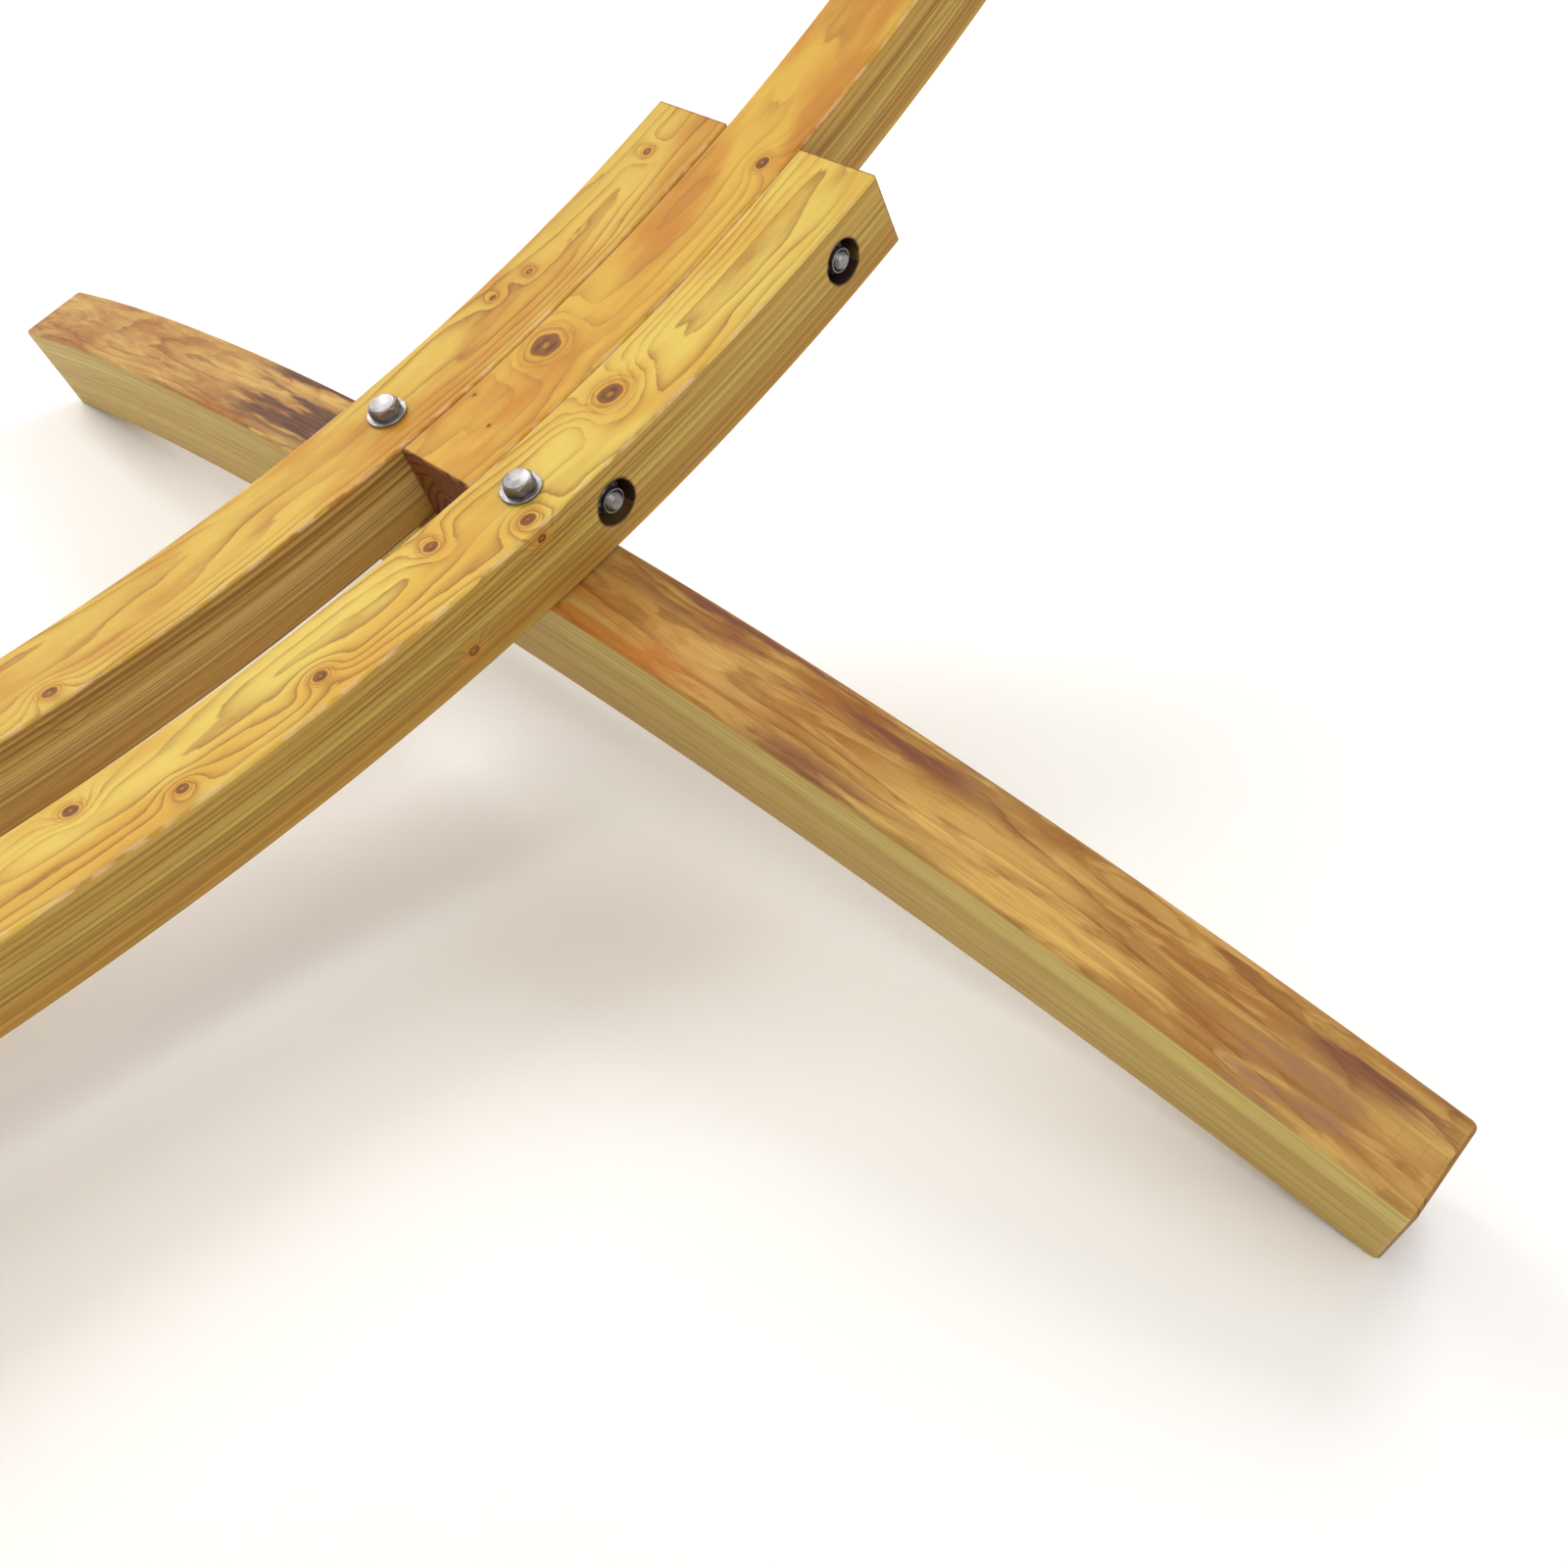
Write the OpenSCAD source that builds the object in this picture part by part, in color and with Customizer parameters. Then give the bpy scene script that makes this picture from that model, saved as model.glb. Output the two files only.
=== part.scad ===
// Arched hammock stand of laminated wood with a spreader-bar hammock hung in it.
// Millimetres. +Z is up, +X runs along the stand, the origin is on the ground under its middle.

/* [Rails and arms] */
// Radius of the underside of the rails and arms
arc_r = 1570; // [1400:5:1800]
// Depth of the rails and arms
rail_h = 52; // [44:1:60]
// Width of each rail
rail_w = 58; // [50:1:70]
// Width of the arm between the rails
arm_w = 59; // [50:1:70]
// Gap between the arm and each rail
seam = 0.5; // [0.3:0.1:1.5]
// Radius of the long arrises of the rails and arms
arris_r = 3; // [1:0.5:6]
// Angle along the arc from the middle of the stand to each foot
foot_angle = 18.6; // [15:0.1:22]
// Angle from the foot to the end of the rails
rail_overhang = 10.2; // [9.5:0.1:12]
// Angle from the foot back to the lower end of the arm
arm_overlap = 0.56; // [0.3:0.01:1]
// Angle along the arc from the middle of the stand to the tip of each arm
tip_angle = 68; // [66:0.5:70]

/* [Feet] */
// Length of each foot across the stand
foot_len = 1200; // [1000:10:1300]
// Lean of the foot's end cuts, inwards to the bottom, degrees
foot_end_lean = 8; // [0:1:8]
// Width of each foot
foot_w = 55; // [45:1:70]
// Depth of each foot at its middle
foot_h = 82; // [70:1:95]
// Radius of the top of the foot's arch
foot_top_r = 2228; // [2100:2:2600]
// Radius of the underside of the foot's arch
foot_under_r = 2420; // [2300:5:2800]
// Depth of the flat cut where the foot meets the ground
ground_cut = 6; // [3:0.5:10]

/* [Fasteners] */
// Thread diameter of the bolts
bolt_d = 10; // [8:1:12]
// Width across the flats of bolt heads and nuts
hex_af = 16; // [16:1:19]
// Outside diameter of the washers
washer_d = 24; // [21:1:25]
// Thickness of the washers
washer_t = 2; // [1.5:0.5:3]
// Angle from the foot to the lower arm bolt
arm_bolt_low = 1.27; // [1.2:0.01:1.6]
// Angle from the foot to the upper arm bolt
arm_bolt_high = 8.6; // [7:0.1:9]
// Diameter of the counterbore around each end of an arm bolt
counterbore_d = 26; // [25.5:0.5:30]
// Depth of the counterbore
counterbore_t = 14; // [12:0.5:16]

/* [Suspension] */
// Angle along the arc to the eye bolt
eye_angle = 66; // [65:0.5:67]
// Radius of the eye, at the middle of its wire
eye_r = 17; // [16:0.5:20]
// Straight length of the carabiner's sides
carabiner_len = 50; // [45:1:70]
// Length of the triangular ring from its narrow end to its wide end
ring_len = 60; // [50:1:80]
// Slope of the straps below the horizontal
strap_slope = 22; // [18:1:26]
// Length of the straps from the ring to the spreader bar
strap_len = 330; // [280:5:360]

/* [Hammock] */
// Width of the fabric bed
bed_w = 740; // [600:10:760]
// Thickness of the fabric bed
bed_t = 4; // [3:0.5:8]
// Slope of the bed where it leaves the spreader bar
bed_slope = 16; // [10:1:18]
// Diameter of the spreader bar
bar_d = 34; // [28:1:40]
// Length of the spreader bar
bar_len = 870; // [860:10:900]
// Width of each strap where it is looped
strap_w = 40; // [30:1:40]
// Thickness of the straps
strap_t = 2.5; // [2:0.5:3]

/* [Hidden] */
$fn = 64;
arc_fn = 720;

pine = "#c9a24f";
pine_side = "#a5813f";
pine_foot = "#c08a45";
steel = "#b9bbbd";
canvas = "#e6dcc4";
webbing = "#d8caa8";
beech = "#c99a62";

bolt_r = bolt_d / 2;
hole_r = bolt_r + 0.5;
washer_hole_r = bolt_r + 0.3;
thread_gap = 0.05;
head_t = 6.4;
nut_t = 8.4;
locknut_hex_t = 7;
locknut_collar_t = 3.2;
locknut_collar_d = 15;
thread_end = 4;
clear = 0.1;

// The rails are side by side about the XZ plane, and the arm fills the gap between them.
rail_y = arm_w / 2 + seam + rail_w / 2;
stand_w = 2 * rail_y + rail_w;
arc_top_r = arc_r - rail_h;

// The underside of the arch drops towards the foot's end, and its inner edge is cut flat on the ground.
under_drop = foot_under_r - sqrt(foot_under_r * foot_under_r - foot_len * foot_len / 4);
foot_top_z = (foot_h + under_drop) * cos(foot_angle) + foot_w / 2 * sin(foot_angle) - ground_cut;
arc_centre_z = foot_top_z + arc_r * cos(foot_angle);
washer_under_z = foot_h + 1.2;

// Points of the suspension, as [x, z] on the right-hand side.
eye_centre_r = arc_top_r - 13 - eye_r;
eye_wire_r = 5;
wire_r = 4;
hang = [-cos(strap_slope), -sin(strap_slope)];
eye_x = (eye_centre_r - eye_r) * sin(eye_angle);
eye_z = arc_centre_z - (eye_centre_r - eye_r) * cos(eye_angle);
link_gap = 0.8;
link_offset = eye_wire_r + wire_r + link_gap;
bow_r = 14;
bow_offset = bow_r - link_offset;
ring_gap = 2 * wire_r + link_gap;
ring_offset = bow_offset + carabiner_len + bow_r - ring_gap;
ring_apex_w = 16;
ring_base_w = 112;
ring_t = 2.8;
bar_offset = ring_offset + ring_len + strap_len;
bar_x = eye_x + bar_offset * hang[0];
bar_z = eye_z + bar_offset * hang[1];

// The bed is an arc about a centre above the middle of the stand.
bed_r = bar_x / sin(bed_slope);
bed_centre_z = bar_z + bed_r * cos(bed_slope);
sleeve_gap = 0.4;
sleeve_t = 3;
sleeve_r = bar_d / 2 + sleeve_gap + sleeve_t;
bar_loop_y = bed_w / 2 + 8 + strap_w / 2;
ring_loop_y = 4 + strap_w / 2;
loop_gap = 0.3;
strap_inset = 0.4;
sleeve_inset = 2;

// The gate closes the upper side of the carabiner and turns about a pin near the ring.
gate_pin_x = 44;
gate_nose_x = 8;
gate_r = 3.4;
tongue_t = 3;
pin_r = 1.5;
boss_r = 2 * pin_r;
fork_r = boss_r - 0.2;
fork_t = 2;
pin_gap = 0.03;
gate_gap = 0.3;

// Rectangle with rounded corners, its first side from x = 0.
module rounded_bar_section(depth, width, r) {
    translate([r, -width / 2]) square([depth - 2 * r, width]);
    translate([0, -width / 2 + r]) square([depth, width - 2 * r]);
    for (x = [r, depth - r], y = [-width / 2 + r, width / 2 - r])
        translate([x, y]) circle(r);
}

// Curved bar about the stand's arc centre between two angles from the vertical.
module arc_bar(width, from, to) {
    translate([0, 0, arc_centre_z]) rotate([90, 0, 0]) rotate([0, 0, from - 90])
        rotate_extrude(angle = to - from, $fn = arc_fn)
            translate([arc_top_r, 0]) rounded_bar_section(rail_h, width, arris_r);
}

// Moves children to an angle on the arc: +Z points to the arc's centre and z = 0 is the underside.
module at_arc(angle) {
    translate([0, 0, arc_centre_z]) rotate([0, -angle, 0]) translate([0, 0, -arc_r]) children();
}

// Moves children to both arm bolt stations of both ends, with the bolt's axis along +Z pointing to +Y.
module at_arm_bolts() {
    for (side = [-1, 1], station = [arm_bolt_low, arm_bolt_high])
        at_arc(side * (foot_angle + station)) translate([0, 0, rail_h / 2]) rotate([-90, 0, 0]) children();
}

// Moves children to the four foot bolt stations.
module at_foot_bolts() {
    for (side = [-1, 1], y = [-rail_y, rail_y])
        at_arc(side * foot_angle) translate([0, y, 0]) children();
}

module hexagon(af, t) {
    cylinder(d = af / cos(30), h = t, $fn = 6);
}

module washer(d, hole, t) {
    difference() {
        cylinder(d = d, h = t);
        translate([0, 0, -1]) cylinder(r = hole, h = t + 2);
    }
}

module plain_nut(t) {
    difference() {
        hexagon(hex_af, t);
        translate([0, 0, -1]) cylinder(r = bolt_r + thread_gap, h = t + 2);
    }
}

module rail(side) {
    difference() {
        translate([0, side * rail_y, 0])
            arc_bar(rail_w, -foot_angle - rail_overhang, foot_angle + rail_overhang);
        at_foot_bolts() translate([0, 0, -10]) cylinder(r = hole_r, h = rail_h + 20);
        at_arm_bolts() cylinder(r = hole_r, h = stand_w, center = true);
        at_arm_bolts() for (end = [0, 180])
            rotate([end, 0, 0]) translate([0, 0, stand_w / 2 - counterbore_t])
                cylinder(d = counterbore_d, h = counterbore_t + 10);
    }
}

module near_rail() {
    color(pine_side) rail(-1);
}

module far_rail() {
    color(pine_side) rail(1);
}

module arm() {
    color(pine) difference() {
        arc_bar(arm_w, foot_angle - arm_overlap, tip_angle);
        at_arm_bolts() cylinder(r = hole_r, h = stand_w, center = true);
        at_arc(eye_angle) translate([0, 0, -10]) cylinder(r = hole_r, h = rail_h + 20);
    }
}

module right_arm() {
    arm();
}

module left_arm() {
    mirror([1, 0, 0]) arm();
}

module foot() {
    end_drop = foot_top_r - sqrt(foot_top_r * foot_top_r - foot_len * foot_len / 4);
    top_reach = foot_len / 2 + end_drop * tan(foot_end_lean);
    under_reach = foot_len / 2 - (foot_h + under_drop + 1 - end_drop) * tan(foot_end_lean);
    color(pine_foot) difference() {
        at_arc(foot_angle) rotate([90, 0, 90]) translate([0, 0, -foot_w / 2])
            linear_extrude(foot_w) intersection() {
                difference() {
                    translate([0, -foot_top_r]) circle(foot_top_r, $fn = arc_fn);
                    translate([0, -foot_h - foot_under_r]) circle(foot_under_r, $fn = arc_fn);
                }
                polygon([
                    [-top_reach, 0], [top_reach, 0],
                    [under_reach, -foot_h - under_drop - 1], [-under_reach, -foot_h - under_drop - 1]
                ]);
            }
        at_foot_bolts() translate([0, 0, -foot_h - 20]) cylinder(r = hole_r, h = foot_h + 40);
        translate([0, -foot_len, -100]) cube([2 * foot_len, 2 * foot_len, 100]);
    }
}

module right_foot() {
    foot();
}

module left_foot() {
    mirror([1, 0, 0]) foot();
}

module foot_bolts() {
    shank_end = -washer_under_z - washer_t - nut_t - thread_end;
    color(steel) at_foot_bolts() {
        translate([0, 0, rail_h + clear + washer_t]) hexagon(hex_af, head_t);
        translate([0, 0, shank_end]) cylinder(r = bolt_r, h = rail_h + clear + washer_t - shank_end);
    }
}

module foot_head_washers() {
    color(steel) at_foot_bolts() translate([0, 0, rail_h + clear]) washer(washer_d, washer_hole_r, washer_t);
}

module foot_nut_washers() {
    color(steel) at_foot_bolts() translate([0, 0, -washer_under_z - washer_t])
        washer(washer_d, washer_hole_r, washer_t);
}

module foot_nuts() {
    color(steel) at_foot_bolts() translate([0, 0, -washer_under_z - washer_t - nut_t]) plain_nut(nut_t);
}

module arm_bolts() {
    seat = stand_w / 2 - counterbore_t + washer_t;
    shank = 2 * seat + locknut_hex_t + locknut_collar_t + thread_end;
    color(steel) at_arm_bolts() {
        translate([0, 0, seat]) hexagon(hex_af, head_t);
        translate([0, 0, seat - shank]) cylinder(r = bolt_r, h = shank);
    }
}

module arm_head_washers() {
    color(steel) at_arm_bolts() translate([0, 0, stand_w / 2 - counterbore_t])
        washer(washer_d, washer_hole_r, washer_t);
}

module arm_nut_washers() {
    color(steel) at_arm_bolts() translate([0, 0, -stand_w / 2 + counterbore_t - washer_t])
        washer(washer_d, washer_hole_r, washer_t);
}

module locknut() {
    difference() {
        union() {
            hexagon(hex_af, locknut_hex_t);
            cylinder(d = locknut_collar_d, h = locknut_hex_t + locknut_collar_t);
        }
        translate([0, 0, -1]) cylinder(r = bolt_r + thread_gap, h = locknut_hex_t + locknut_collar_t + 2);
    }
}

module arm_locknuts() {
    color(steel) at_arm_bolts() translate([0, 0, -stand_w / 2 + counterbore_t - washer_t])
        rotate([180, 0, 0]) locknut();
}

// Moves children to both eye bolts, with +Z along the bolt towards the hammock.
module at_eyes() {
    for (side = [-1, 1])
        at_arc(side * eye_angle) children();
}

module eye_bolts() {
    eye_z_local = arc_r - eye_centre_r;
    shank_end = -washer_t - nut_t - thread_end - clear;
    color(steel) at_eyes() {
        translate([0, 0, eye_z_local]) rotate([0, 90, 0])
            rotate_extrude() translate([eye_r, 0]) circle(eye_wire_r);
        translate([0, 0, rail_h + clear + washer_t]) cylinder(d = 16, h = 4);
        translate([0, 0, shank_end]) cylinder(r = bolt_r, h = eye_z_local - eye_r - shank_end);
    }
}

module eye_washers() {
    color(steel) at_eyes() for (z = [-clear - washer_t, rail_h + clear])
        translate([0, 0, z]) washer(washer_d, washer_hole_r, washer_t);
}

module eye_nuts() {
    color(steel) at_eyes() translate([0, 0, -clear - washer_t - nut_t]) plain_nut(nut_t);
}

// Moves children to the right-hand eye: +X runs down the straps, +Y is across and +Z is above the straps.
module at_hang() {
    translate([eye_x, 0, eye_z]) rotate([0, -strap_slope, 0]) rotate([0, 0, 180]) children();
}

// Half turn of wire about +Y, opening towards -X.
module bow() {
    rotate([90, 0, 0]) rotate([0, 0, -90]) rotate_extrude(angle = 180) translate([bow_r, 0]) circle(wire_r);
}

module rod_x(from, to, r) {
    translate([from, 0, 0]) rotate([0, 90, 0]) cylinder(r = r, h = to - from);
}

module carabiner() {
    color(steel) at_hang() translate([bow_offset, 0, 0]) difference() {
        union() {
            translate([carabiner_len, 0, 0]) bow();
            mirror([1, 0, 0]) bow();
            translate([0, 0, -bow_r]) rod_x(0, carabiner_len, wire_r);
            translate([0, 0, bow_r]) rod_x(0, gate_nose_x, wire_r);
            translate([0, 0, bow_r]) rod_x(gate_pin_x + boss_r + gate_gap, carabiner_len, wire_r);
            translate([gate_pin_x, 0, bow_r]) rotate([90, 0, 0])
                cylinder(r = boss_r, h = tongue_t, center = true);
            translate([gate_pin_x, -tongue_t / 2, bow_r - boss_r]) cube([boss_r + 1, tongue_t, 2 * boss_r]);
        }
        translate([gate_pin_x, 0, bow_r]) rotate([90, 0, 0])
            cylinder(r = pin_r + thread_gap, h = 20, center = true);
    }
}

module right_carabiner() {
    carabiner();
}

module left_carabiner() {
    mirror([1, 0, 0]) carabiner();
}

module gate() {
    fork_x = gate_pin_x - boss_r - 0.5;
    color(steel) at_hang() translate([bow_offset, 0, bow_r]) difference() {
        union() {
            rod_x(gate_nose_x + 0.5, fork_x, gate_r);
            for (side = [-1, 1])
                translate([0, side * (tongue_t + fork_t + 0.6) / 2, 0]) {
                    translate([gate_pin_x, 0, 0]) rotate([90, 0, 0])
                        cylinder(r = fork_r, h = fork_t, center = true);
                    translate([fork_x - 3, -fork_t / 2, -fork_r])
                        cube([gate_pin_x - fork_x + 3, fork_t, 2 * fork_r]);
                }
        }
        translate([gate_pin_x, 0, 0]) rotate([90, 0, 0])
            cylinder(r = pin_r + pin_gap, h = 20, center = true);
    }
}

module right_gate() {
    gate();
}

module left_gate() {
    mirror([1, 0, 0]) gate();
}

module gate_pin() {
    color(steel) at_hang() translate([bow_offset + gate_pin_x, 0, bow_r]) rotate([90, 0, 0])
        cylinder(r = pin_r, h = tongue_t + 2 * fork_t + 1.2, center = true);
}

module right_gate_pin() {
    gate_pin();
}

module left_gate_pin() {
    mirror([1, 0, 0]) gate_pin();
}

// Flat ring with a narrow end for the carabiner and a wide end for the two straps.
module strap_ring() {
    corners = [
        [0, -ring_apex_w / 2], [0, ring_apex_w / 2],
        [ring_len, ring_base_w / 2], [ring_len, -ring_base_w / 2]
    ];
    color(steel) at_hang() translate([ring_offset, 0, -ring_t / 2]) linear_extrude(ring_t) difference() {
        offset(r = wire_r) polygon(corners);
        offset(delta = -wire_r) polygon(corners);
    }
}

module right_ring() {
    strap_ring();
}

module left_ring() {
    mirror([1, 0, 0]) strap_ring();
}

module strap_loop(inner_r) {
    rotate([90, 0, 0]) difference() {
        cylinder(r = inner_r + strap_t, h = strap_w, center = true);
        cylinder(r = inner_r, h = strap_w + 2, center = true);
    }
}

// One flat strap from the ring's wide end to the end of the spreader bar, looped round both.
module strap(side) {
    ring_loop_r = wire_r + loop_gap;
    bar_loop_r = bar_d / 2 + loop_gap;
    near_x = ring_offset + ring_len;
    rise = bar_loop_r - ring_loop_r;
    tilt = asin(rise / strap_len);
    run = strap_len * cos(tilt);
    half = strap_w / 2;
    mirror([0, side < 0 ? 1 : 0, 0]) {
        translate([near_x, ring_loop_y, 0]) strap_loop(ring_loop_r);
        translate([bar_offset, bar_loop_y, 0]) strap_loop(bar_loop_r);
        translate([near_x, 0, 0]) rotate([0, -tilt, 0]) translate([0, 0, ring_loop_r + strap_inset])
            linear_extrude(strap_t - 2 * strap_inset) polygon([
                [0, ring_loop_y - half + strap_inset], [0, ring_loop_y + half - strap_inset],
                [run, bar_loop_y + half - strap_inset], [run, bar_loop_y - half + strap_inset]
            ]);
    }
}

module straps() {
    color(webbing) at_hang() for (side = [-1, 1]) strap(side);
}

module right_straps() {
    straps();
}

module left_straps() {
    mirror([1, 0, 0]) straps();
}

module spreader_bar() {
    color(beech) translate([bar_x, 0, bar_z]) rotate([90, 0, 0])
        cylinder(d = bar_d, h = bar_len, center = true);
}

module right_spreader_bar() {
    spreader_bar();
}

module left_spreader_bar() {
    mirror([1, 0, 0]) spreader_bar();
}

module hammock_bed() {
    color(canvas) difference() {
        union() {
            translate([0, 0, bed_centre_z]) rotate([90, 0, 0]) rotate([0, 0, -bed_slope - 90])
                rotate_extrude(angle = 2 * bed_slope, $fn = arc_fn)
                    translate([bed_r - bed_t / 2, -bed_w / 2]) square([bed_t, bed_w]);
            for (x = [-bar_x, bar_x])
                translate([x, 0, bar_z]) rotate([90, 0, 0])
                    cylinder(r = sleeve_r, h = bed_w - 2 * sleeve_inset, center = true);
        }
        for (x = [-bar_x, bar_x])
            translate([x, 0, bar_z]) rotate([90, 0, 0])
                cylinder(r = bar_d / 2 + sleeve_gap, h = bed_w + 2, center = true);
    }
}

near_rail();
far_rail();
left_arm();
right_arm();
left_foot();
right_foot();
foot_bolts();
foot_head_washers();
foot_nut_washers();
foot_nuts();
arm_bolts();
arm_head_washers();
arm_nut_washers();
arm_locknuts();
eye_bolts();
eye_washers();
eye_nuts();
left_carabiner();
right_carabiner();
left_gate();
right_gate();
left_gate_pin();
right_gate_pin();
left_ring();
right_ring();
left_straps();
right_straps();
left_spreader_bar();
right_spreader_bar();
hammock_bed();
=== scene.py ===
import math

import bpy
from mathutils import Matrix, Vector


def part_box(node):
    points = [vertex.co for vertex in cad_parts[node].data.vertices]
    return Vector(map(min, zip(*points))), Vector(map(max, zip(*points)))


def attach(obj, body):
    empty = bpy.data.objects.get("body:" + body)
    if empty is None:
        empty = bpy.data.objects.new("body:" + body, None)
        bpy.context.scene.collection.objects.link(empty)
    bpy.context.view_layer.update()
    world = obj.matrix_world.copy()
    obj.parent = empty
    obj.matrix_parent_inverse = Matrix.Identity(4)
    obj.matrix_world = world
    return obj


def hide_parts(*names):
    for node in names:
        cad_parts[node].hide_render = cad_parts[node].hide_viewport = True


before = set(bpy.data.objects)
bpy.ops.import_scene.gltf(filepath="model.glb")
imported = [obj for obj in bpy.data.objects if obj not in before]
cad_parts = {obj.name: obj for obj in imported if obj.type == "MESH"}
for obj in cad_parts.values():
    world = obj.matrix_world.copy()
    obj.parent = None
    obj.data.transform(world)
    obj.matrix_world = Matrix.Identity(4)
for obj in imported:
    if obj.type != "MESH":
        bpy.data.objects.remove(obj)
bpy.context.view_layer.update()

# ---------------------------------------------------------------- sizes, in metres, as in the CAD
# The rails and arms are bent about one centre. ARC_R is the radius of their underside.
ARC_R = 1.570
RAIL_H = 0.052
RAIL_W = 0.058
ARM_W = 0.059
SEAM = 0.0005
FOOT_ANGLE = math.radians(18.6)
RAIL_END = FOOT_ANGLE + math.radians(10.2)
ARM_START = FOOT_ANGLE - math.radians(0.56)
ARM_TIP = math.radians(68)
ARM_BOLTS = [FOOT_ANGLE + math.radians(1.27), FOOT_ANGLE + math.radians(8.6)]
FOOT_LEN = 1.2
FOOT_W = 0.055
FOOT_H = 0.082
FOOT_END_LEAN = math.radians(8)
FOOT_TOP_R = 2.228
FOOT_UNDER_R = 2.420
HEX_AF = 0.016
HEX_CORNER = HEX_AF / 2 / math.cos(math.radians(30))
HEAD_T = 0.0064
NUT_T = 0.0084
WASHER_R = 0.012
WASHER_T = 0.002
BOLT_R = 0.005
NUT_BORE = BOLT_R + 0.00005
COUNTERBORE_R = 0.013
COUNTERBORE_T = 0.014
HEAD_GAP = 0.0001
FOOT_NUT_GAP = 0.0012

RAIL_Y = ARM_W / 2 + SEAM + RAIL_W / 2
STAND_W = 2 * RAIL_Y + RAIL_W
ARC_MID = ARC_R - RAIL_H / 2
ARC_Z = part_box("near_rail")[0][2] + ARC_R
FOOT_X = ARC_R * math.sin(FOOT_ANGLE)
FOOT_Z = ARC_Z - ARC_R * math.cos(FOOT_ANGLE)

# Steps of the timber's meshes: round each corner, along its sides, round its ends and along its length.
CORNER_STEPS = 5
WIDE_STEPS = 6
DEEP_STEPS = 5
END_STEPS = 4
BAR_STEP = 0.012
CORNER_SUPPORT = 0.001

# The ends of a foot lean in over this last share of its half length.
LEAN_SHARE = 0.2


# ---------------------------------------------------------------- mesh helpers
def make_object(name, verts, faces, material, sharp=35):
    """Smooth object with sharp edges above an angle in degrees."""
    mesh = bpy.data.meshes.new(name)
    mesh.from_pydata([tuple(v) for v in verts], [], faces)
    mesh.validate()
    mesh.update()
    mesh.shade_smooth()
    mesh.set_sharp_from_angle(angle=math.radians(sharp))
    obj = bpy.data.objects.new(name, mesh)
    bpy.context.scene.collection.objects.link(obj)
    if material:
        mesh.materials.append(material)
    return obj


def join_copies(parts):
    """One list of vertices and one of faces from several (verts, faces) pairs."""
    verts, faces = [], []
    for part_verts, part_faces in parts:
        start = len(verts)
        verts += [tuple(v) for v in part_verts]
        faces += [tuple(i + start for i in face) for face in part_faces]
    return verts, faces


def placed(part, matrix):
    """A (verts, faces) pair moved by a matrix."""
    verts, faces = part
    return [matrix @ Vector(v) for v in verts], faces


def ring_faces(rings, count, closed=True):
    """Quads between consecutive rings of count vertices."""
    faces = []
    span = count if closed else count - 1
    for k in range(rings - 1):
        for i in range(span):
            j = (i + 1) % count
            faces.append((k * count + i, k * count + j, (k + 1) * count + j, (k + 1) * count + i))
    return faces


def section(width, depth, radius):
    """Rounded rectangle as (across, up) points, up from 0 to depth, with a close loop beside each corner."""
    corners = []
    for index, (side, top) in enumerate([(1, False), (1, True), (-1, True), (-1, False)]):
        centre_across = side * (width / 2 - radius)
        centre_up = depth - radius if top else radius
        corner = []
        for k in range(CORNER_STEPS + 1):
            a = math.radians(90 * (index - 1) + 90 * k / CORNER_STEPS)
            corner.append((centre_across + radius * math.cos(a), centre_up + radius * math.sin(a)))
        corners.append(corner)
    support = min(CORNER_SUPPORT, radius)
    points = []
    for index, corner in enumerate(corners):
        points += corner
        here = Vector(corner[-1])
        following = Vector(corners[(index + 1) % 4][0])
        near = support / (following - here).length
        steps = DEEP_STEPS if index % 2 == 0 else WIDE_STEPS
        shares = [near] + [k / steps for k in range(1, steps)] + [1 - near]
        points += [tuple(here.lerp(following, share)) for share in shares]
    return points


def bar(name, span, width, depth, place, material, arris=0.003, end_round=0.002):
    """Solid bar with rounded arrises and ends. place(along, across, up) gives a point on it."""
    low, high = span
    rounding = []
    for k in range(END_STEPS + 1):
        a = math.pi / 2 * k / END_STEPS
        rounding.append((end_round * (1 - math.cos(a)), end_round * (1 - math.sin(a))))
    count = int((high - low) / BAR_STEP)
    stations = [(low + run, inset) for run, inset in rounding]
    stations += [(low + (high - low) * k / count, 0.0) for k in range(1, count)]
    stations += [(high - run, inset) for run, inset in reversed(rounding)]
    verts = []
    for along, inset in stations:
        points = section(width - 2 * inset, depth - 2 * inset, max(arris - inset, 0.0004))
        verts += [place(along, across, up + inset) for across, up in points]
    size = len(points)
    last = (len(stations) - 1) * size
    faces = ring_faces(len(stations), size)
    faces.append(tuple(range(size - 1, -1, -1)))
    faces.append(tuple(last + i for i in range(size)))
    return make_object(name, verts, faces, material, sharp=50)


def on_arc(centre_y):
    """place() for a bar bent round the stand's arc. Along is an angle times the arc's middle radius."""
    def place(along, across, up):
        angle = along / ARC_MID
        radius = ARC_R - up
        return (radius * math.sin(angle), centre_y + across, ARC_Z - radius * math.cos(angle))
    return place


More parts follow.
